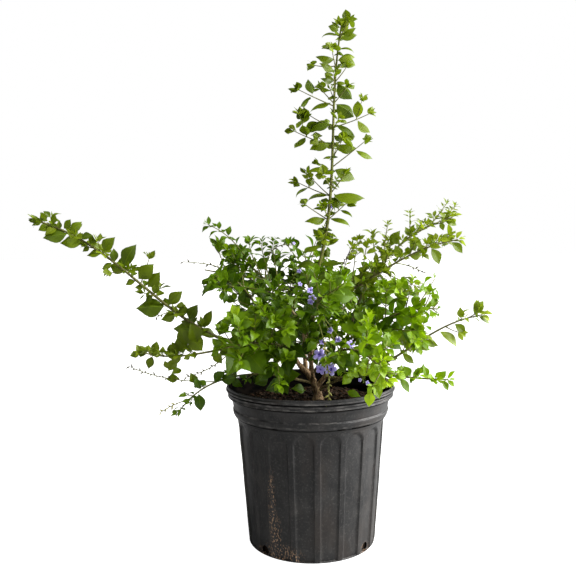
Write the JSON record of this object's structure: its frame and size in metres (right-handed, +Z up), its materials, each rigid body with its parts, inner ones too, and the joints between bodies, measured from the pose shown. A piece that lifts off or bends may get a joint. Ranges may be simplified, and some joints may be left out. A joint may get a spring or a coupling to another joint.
{
  "type": "potted duranta shrub",
  "caption": "Open, arching evergreen shrub with one tall upright leader and a long side shoot, growing from a short forked trunk in a dark fluted nursery pot.",
  "frame": {"origin": "middle of the pot's flat underside", "axes": "+Z up along the pot's axis, -Y towards the viewer of the picture, +X to that viewer's right"},
  "size_m": [0.7481, 0.4187, 0.8588],
  "materials": {
    "pot_plastic": "matte charcoal blow-moulded plastic, dusty and lightly scuffed",
    "potting_soil": "dark crumbly potting mix with bits of bark",
    "bark": "tan-brown rough bark on the trunk and its stems",
    "green_bark": "young green-brown bark on the boughs",
    "foliage": "satin green leaves on green twigs, with a few violet flowers",
    "petals": "soft violet petals with darker throats"
  },
  "bodies": {
    "root": {"pot": "pot_plastic", "soil": "potting_soil", "trunk": "bark", "stem_left": "bark", "stem_centre": "bark", "stem_right": "bark", "stem_front": "bark", "stem_back": "bark", "bough_leader": "green_bark", "bough_long_left": "green_bark", "bough_low_left": "green_bark", "bough_trailing_left": "green_bark", "bough_upper_left": "green_bark", "bough_mid_left": "green_bark", "bough_front_left": "green_bark", "bough_front": "green_bark", "bough_front_right": "green_bark", "bough_mid_right": "green_bark", "bough_low_right": "green_bark", "bough_trailing_right": "green_bark", "bough_upper_right": "green_bark", "bough_upper_right_back": "green_bark", "bough_back_top": "green_bark", "bough_back_left": "green_bark", "bough_back_right": "green_bark", "bough_back_low": "green_bark", "foliage_leader": "foliage", "foliage_long_left": "foliage", "foliage_low_left": "foliage", "foliage_trailing_left": "foliage", "foliage_upper_left": "foliage", "foliage_mid_left": "foliage", "foliage_front_left": "foliage", "foliage_front": "foliage", "foliage_front_right": "foliage", "foliage_mid_right": "foliage", "foliage_low_right": "foliage", "foliage_trailing_right": "foliage", "foliage_upper_right": "foliage", "foliage_upper_right_back": "foliage", "foliage_back_top": "foliage", "foliage_back_left": "foliage", "foliage_back_right": "foliage", "foliage_back_low": "foliage"}
  },
  "joints": []
}
